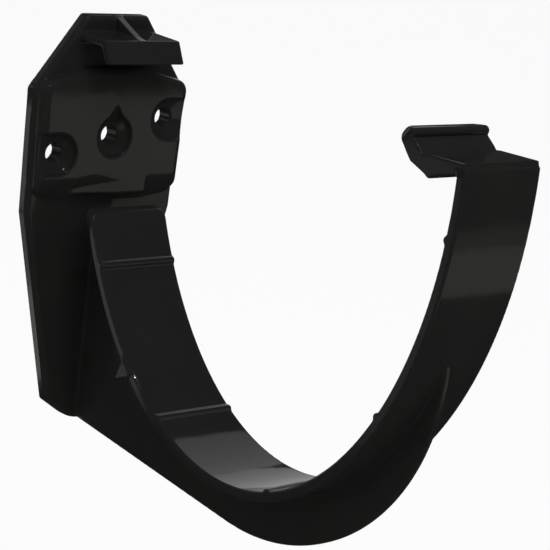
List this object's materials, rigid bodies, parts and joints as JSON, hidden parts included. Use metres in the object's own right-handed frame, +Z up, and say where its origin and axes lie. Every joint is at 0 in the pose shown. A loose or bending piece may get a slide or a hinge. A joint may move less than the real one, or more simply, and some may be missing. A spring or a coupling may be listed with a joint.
{
  "type": "gutter bracket",
  "caption": "One-piece moulded fascia bracket: a half-oval strap cradles a deep gutter between a rear hook and a front clip, held by a screwed back plate with a web.",
  "frame": {"origin": "axis of the middle screw hole, where it meets the fascia", "axes": "+X along the gutter, +Y into the fascia, +Z up"},
  "size_m": [0.0422, 0.1188, 0.1004],
  "materials": {
    "moulding": "black, as moulded, gloss"
  },
  "bodies": {
    "root": {"bracket": "moulding"}
  },
  "joints": []
}
